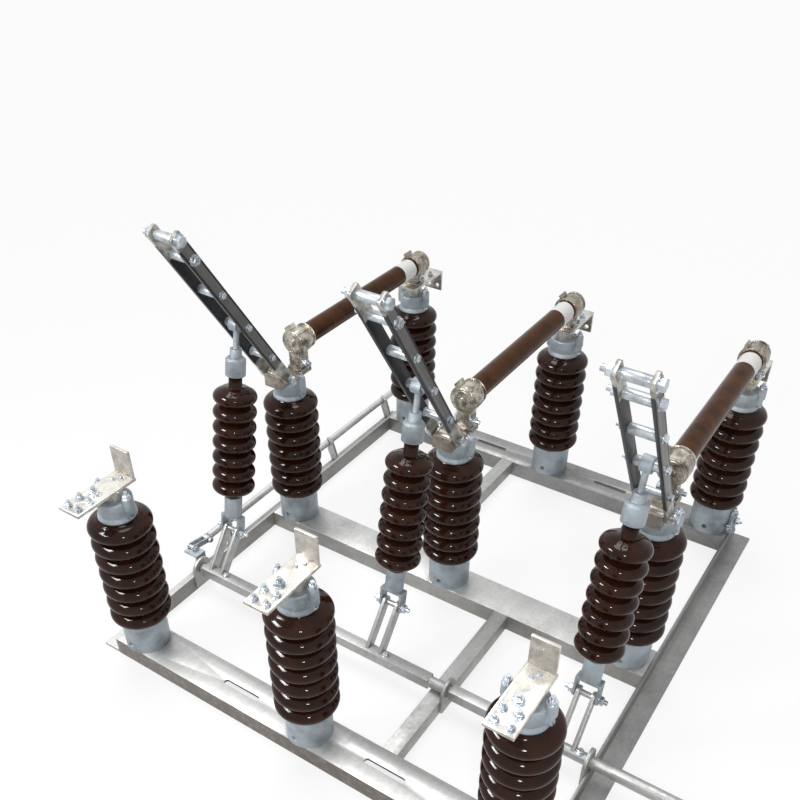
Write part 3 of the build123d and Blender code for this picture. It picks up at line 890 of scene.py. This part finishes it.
class DressLiveParts(DressOperator):
    """Terminals, hinge brackets, clips, blades and fuses."""

    bl_idname = "switch.dress_live_parts"
    bl_label = "Dress live parts"

    def execute(self, context):
        # Painted reflection: the upright faces of the terminals, facing front and back, are tinted tan-brown.
        film = face_marks("film", lambda face: 0.65 if abs(face.normal.y) > 0.7 else 0.0)
        for node in ("front_terminals", "rear_terminals"):
            soften(node, 0.6 * self.sizes.edge, finishes["plated_copper"], film)
        halfway = middle("fuse_end_caps").y
        # The rear half of the fuse clips and end caps is darkened brown by the same mark.
        rear = face_marks("film", lambda face: 0.75 if face.calc_center_median().y > halfway else 0.0)
        for node in ("middle_fuse_clips", "rear_fuse_clips", "fuse_end_caps"):
            soften(node, 0.6 * self.sizes.edge, finishes["clip_metal"], rear)
        soften("hinge_brackets", 0.6 * self.sizes.edge, finishes["bare_copper"])
        for pole in POLES:
            side = face_marks("side", lambda face, x=pole_x[pole]: self.side_of(face, x))
            soften(f"{pole}_blade_bars", 0.7 * self.sizes.edge, finishes["dark_blade"], side)
            soften(f"{pole}_blade_tubes", 0.6 * self.sizes.edge, finishes["zinc_tube"])
            self.label_fuse(pole)
        self.dress_ferrules()
        return {"FINISHED"}

    def side_of(self, face, centre):
        """1 on the outer faces of the bars, -1 on the inner ones and 0 on the edges."""
        way = math.copysign(1.0, face.calc_center_median().x - centre) * face.normal.x
        return float(way > 0.5) - float(way < -0.5)

    def dress_ferrules(self):
        """Bands round the fuse ends and a boss in the middle of each end."""
        caps = "fuse_end_caps"
        radius = (high(caps).z - low(caps).z) / 2 / MM
        outer, inner = band(radius, 4.0, 1.0, 0.5), band(radius, 3.2, 1.8, 38.3)
        shapes = []
        for pole in POLES:
            for end, way in ((low(caps).y, ALONG), (high(caps).y, -ALONG)):
                foot = Vector((pole_x[pole], end, middle(caps).z))
                shapes += [(outer, foot, way), (inner, foot, way), (FUSE_BOSS, foot, -way)]
        bands = turned_piece("fuse_end_bands", shapes, finishes["clip_metal"], 64)
        settle(bands, body_of[caps])

    def label_fuse(self, pole):
        """A blank label round the rear end of the fuse."""
        tube = f"{pole}_fuse_tube"
        radius = (high(tube).z - low(tube).z) / 2 / MM + 0.25
        length = self.sizes.label_length / MM
        end = high(tube).y - 0.045 - self.sizes.label_length
        foot = Vector((pole_x[pole], end, middle(tube).z))
        wrap = [(radius - 0.2, 0), (radius, 0.1), (radius, length - 0.1), (radius - 0.2, length)]
        piece = turned_piece(f"{pole}_fuse_label", [(wrap, foot, ALONG)], finishes["label"], 64)
        settle(piece, body_of[tube])


class FitFasteners(DressOperator):
    """Bolts, nuts and washers."""

    bl_idname = "switch.fit_fasteners"
    bl_label = "Fit fasteners"

    def execute(self, context):
        small, large = self.sizes.small_bolt, self.sizes.large_bolt
        plate_top = low("front_terminals").z + TERMINAL_PLATE
        front_edge = low("front_terminals").y
        heads, nuts = [], []
        for pole in POLES:
            x = pole_x[pole]
            post = Vector((x, row_y["front"], plate_top))
            nuts.append((post - ALONG * 33 * MM, UP, large))
            for rivet in ((-5, 10), (2, 20)):
                heads.append((post + Vector((*rivet, 0)) * MM, UP, 0.6 * small))
            for i in (-1, 1):
                for j in (0, 1):
                    row_edge = front_edge + TERMINAL_BOLT + j * TERMINAL_ROWS
                    spot = Vector((x + i * TERMINAL_BOLT, row_edge, plate_top))
                    nuts.append((spot, UP, small))
                    heads.append((spot - UP * 5 * MM, -UP, small))
                for row in ROWS:
                    caps = f"{row}_post_caps"
                    ear = Vector((x + i * EAR_REACH, row_y[row], 0))
                    nuts.append((ear + UP * (high(caps).z + STUD_RISE), UP, small * 1.12))
                    heads.append((ear + UP * (middle(caps).z - 7 * MM), -UP, small))
                seat = row_y["rear"] + 52 * MM
                nuts.append((Vector((x + i * TERMINAL_BOLT, seat, high("rear_terminals").z)), UP, small))
                for clips in ("middle_fuse_clips", "rear_fuse_clips"):
                    stem = Vector((x + i * CLIP_BOLT, middle(clips).y, low(clips).z + 15 * MM))
                    (nuts if i > 0 else heads).append((stem, ACROSS * i, large))
                hinge = hinge_of(pole) + ACROSS * i * HINGE_FACE
                (heads if i > 0 else nuts).append((hinge, ACROSS * i, large))
        fasten("frame_bolt_heads", body_of["front_beam"], heads)
        fasten("frame_bolt_nuts", body_of["front_beam"], nuts, 0.9)
        shaft = middle("operating_shaft")
        shaft_top = high("operating_shaft").z - 1 * MM
        clamps = [Vector((pole_x[pole] + 25 * MM, shaft.y, shaft_top)) for pole in POLES]
        fasten("shaft_clamp_bolts", body_of["operating_shaft"], [(clamp, UP, small) for clamp in clamps])
        for pole in POLES:
            ears = [(clevis_of(pole) + ACROSS * i * CLEVIS_FACE, ACROSS * i, large) for i in (-1, 1)]
            fasten(f"{pole}_clevis_bolts", body_of[f"{pole}_pull_fittings"], ears, 0.9)
            rows = ((HINGE_ROD, small), (172, small), (267, small), (358, large), (404, 1.2 * large))
            rungs = [(hinge_of(pole) + blade_way * at * MM, size) for at, size in rows]
            fasten(
                f"{pole}_blade_bolt_heads",
                body_of[f"{pole}_blade_bars"],
                [(rung + ACROSS * BLADE_FACE, ACROSS, size) for rung, size in rungs],
            )
            fasten(
                f"{pole}_blade_bolt_nuts",
                body_of[f"{pole}_blade_bars"],
                [(rung - ACROSS * BLADE_FACE, -ACROSS, size) for rung, size in rungs],
                0.9,
            )
        return {"FINISHED"}


class FitSmallParts(DressOperator):
    """Rods between the blade bars, the trip rod's catch and the earth stud."""

    bl_idname = "switch.fit_small_parts"
    bl_label = "Fit small parts"

    def execute(self, context):
        for pole in POLES:
            radius, length = 6.5, 41
            foot = hinge_of(pole) + blade_way * HINGE_ROD * MM - ACROSS * length / 2 * MM
            shapes = [([(0, 0), (radius, 0), (radius, length), (0, length)], foot, ACROSS)]
            for start in (0.2, 37.8):
                shapes.append((band(radius, 3.0, 1.6, start), foot, ACROSS))
            piece = turned_piece(f"{pole}_blade_hinge_rod", shapes, finishes["zinc_tube"])
            settle(piece, body_of[f"{pole}_blade_bars"])
        self.fit_trip_catch()
        self.fit_earth_stud()
        return {"FINISHED"}

    def fit_trip_catch(self):
        """Bushing on the trip rod's front end, two links and the bracket that they reach."""
        rod = Vector((middle("trip_rod").x, low("trip_rod").y, middle("trip_rod").z))
        outer, inner = low("trip_rod").x + 0.5 * MM, rod.x + 9 * MM
        joint = rod - ALONG * 6.5 * MM
        catch = joint + Vector((0, -42, 7)) * MM
        wide = (inner - outer) / MM
        bushing = [(0, 0), (6.6, 0), (7.4, 0.8), (7.4, wide - 0.8), (6.6, wide), (0, wide)]
        pin = [(0, 0), (4, 0), (4, wide), (0, wide)]
        form = bmesh.new()
        for profile, spot in ((bushing, joint), (pin, catch)):
            foot = Vector((outer, spot.y, spot.z))
            turned(form, [(r * MM, h * MM) for r, h in profile], foot, ACROSS)
        lean = (catch - joint).normalized()
        link_width, link_thick = 5.5, 1.6  # half sizes
        eye = [(0, -link_thick), (link_width, -link_thick), (link_width, link_thick), (0, link_thick)]
        across_link, through_link = ACROSS.cross(lean) * link_width * MM, ACROSS * link_thick * MM
        for x in (outer + 1.7 * MM, inner - 1.7 * MM):
            ends = [Vector((x, spot.y, spot.z)) for spot in (joint, catch)]
            flat_bar(form, *ends, across_link, through_link)
            for spot in ends:
                turned(form, [(r * MM, h * MM) for r, h in eye], spot, ACROSS)
        plate_y, top, foot_z = catch.y - 3 * MM, catch.z - 6 * MM, 5 * MM
        leg_x = inner + 16 * MM
        half_depth, half_thick = ALONG * 12 * MM, 2 * MM
        shelf = [Vector((x, plate_y, top)) for x in (outer, leg_x + half_thick)]
        flat_bar(form, *shelf, half_depth, UP * half_thick)
        leg = [Vector((leg_x, plate_y, z)) for z in (foot_z, top)]
        flat_bar(form, *leg, half_depth, ACROSS * half_thick)
        face_out(form)
        piece = object_of(form, "trip_catch", finishes["zinc_tube"])
        settle(piece, body_of["trip_rod"])
        pins = [Vector((inner, spot.y, spot.z)) for spot in (joint, catch)]
        bolts = [(pin_end, ACROSS, self.sizes.small_bolt) for pin_end in pins]
        fasten("trip_catch_bolts", body_of["trip_rod"], bolts)

    def fit_earth_stud(self):
        """Stud and bolts beside the rear right post."""
        bases = "rear_post_bases"
        x, y, beam_top = high(bases).x + 5 * MM, row_y["rear"], low(bases).z
        height = 43
        stud = [(0, 0), (12, 0), (12, 4), (8.5, 6), (8.5, height - 1), (7.5, height), (0, height)]
        foot = Vector((x, y, beam_top))
        piece = turned_piece("earth_stud", [(stud, foot, UP)], finishes["cast_fitting"])
        settle(piece, body_of[bases])
        large = self.sizes.large_bolt
        bolts = [(foot + UP * height * MM, UP, large)]
        for rise, way in ((28, ACROSS), (16, -ALONG)):
            bolts.append((foot + UP * rise * MM + way * 8 * MM, way, large * 0.9))
        fasten("earth_stud_bolts", body_of[bases], bolts, 0.9)


class SetStage(DressOperator):
    """Floor, light, world and camera."""

    bl_idname = "switch.set_stage"
    bl_label = "Set stage"

    def panel_lamp(self, name, place, target, width, height, power):
        """A soft panel of light that faces the target."""
        light = bpy.data.lights.new(name, "AREA")
        light.shape, light.size, light.size_y, light.energy = "RECTANGLE", width, height, power
        lamp = object_from(name, light)
        self.aim(lamp, place, target)
        return lamp

    def sky_lamp(self, name, place, target, spread_deg, power):
        """Soft light that falls the same everywhere."""
        light = bpy.data.lights.new(name, "SUN")
        light.angle, light.energy = math.radians(spread_deg), power
        self.aim(object_from(name, light), place, target)

    def aim(self, lamp, place, target):
        """Puts a lamp in its place, facing the target."""
        lamp.location = place
        lamp.rotation_euler = (Vector(target) - Vector(place)).to_track_quat("-Z", "Y").to_euler()

    def execute(self, context):
        scene = bpy.context.scene
        form = bmesh.new()
        bmesh.ops.create_grid(form, x_segments=1, y_segments=1, size=30.0)
        floor = object_of(form, "floor", studio_floor(self.colours.floor))
        floor.location.z = -0.0005

        target = origin + Vector((0, 0, 0.15))
        self.sky_lamp("top", target + Vector((-0.5, 0.5, 2.6)), target, 32, 2.0)
        window = self.panel_lamp("window", target + Vector((-0.85, -1.1, 1.2)), target, 0.6, 0.34, 29)
        window.visible_diffuse = False
        self.panel_lamp("fill", target + Vector((-0.75, -0.95, 1.05)), target, 0.30, 0.12, 6)
        self.panel_lamp("flash", target + Vector((0.85, -1.35, 1.15)), target, 0.16, 0.16, 9)

        world = bpy.data.worlds.new("studio")
        world.use_nodes = True
        world.node_tree.nodes.clear()
        start = Wire(world.node_tree)
        strength = looked_at(start) * 0.74 + 0.26
        glow = start.node("ShaderNodeBackground", {}, {"Color": (1, 1, 1, 1), "Strength": strength})
        start.node("ShaderNodeOutputWorld", {}, {"Surface": glow})
        scene.world = world

        azimuth, elevation = math.radians(33.43), math.radians(38.81)
        back = Vector(
            (
                math.sin(azimuth) * math.cos(elevation),
                -math.cos(azimuth) * math.cos(elevation),
                math.sin(elevation),
            )
        )
        right = Vector((math.cos(azimuth), math.sin(azimuth), 0))
        lens = bpy.data.cameras.new("camera")
        lens.sensor_width, lens.lens, lens.shift_y = 36.0, 40.914, 0.14
        lens.clip_end = 100.0
        camera = object_from("camera", lens)
        turn = Matrix((right, back.cross(right), back)).transposed().to_4x4()
        camera.matrix_world = Matrix.Translation(origin + Vector((0.6420, -1.1463, 1.2142))) @ turn
        scene.camera = camera
        scene.view_settings.view_transform = "Standard"
        return {"FINISHED"}


class SwitchPanel(bpy.types.Panel):
    """Lists the steps and their settings."""

    bl_idname = "VIEW3D_PT_switch_dressing"
    bl_label = "Disconnect Switch"
    bl_space_type = "VIEW_3D"
    bl_region_type = "UI"
    bl_category = "Switch"

    def draw(self, context):
        for settings in (context.scene.switch_sizes, context.scene.switch_colours):
            for name in type(settings).__annotations__:
                self.layout.prop(settings, name)
        for step in STEPS:
            self.layout.operator(step.bl_idname)


STEPS = (MixFinishes, BuildInsulators, DressSteelwork, DressLiveParts, FitFasteners, FitSmallParts, SetStage)
CLASSES = (SwitchSizes, SwitchColours, *STEPS, SwitchPanel)


def register():
    """Adds the classes and the settings."""
    for each in CLASSES:
        bpy.utils.register_class(each)
    bpy.types.Scene.switch_sizes = bpy.props.PointerProperty(type=SwitchSizes)
    bpy.types.Scene.switch_colours = bpy.props.PointerProperty(type=SwitchColours)


def unregister():
    """Removes the classes and the settings."""
    del bpy.types.Scene.switch_colours
    del bpy.types.Scene.switch_sizes
    for each in reversed(CLASSES):
        bpy.utils.unregister_class(each)


def main():
    """Builds everything."""
    register()
    for step in STEPS:
        group, name = step.bl_idname.split(".")
        getattr(getattr(bpy.ops, group), name)()


if __name__ == "__main__":
    main()
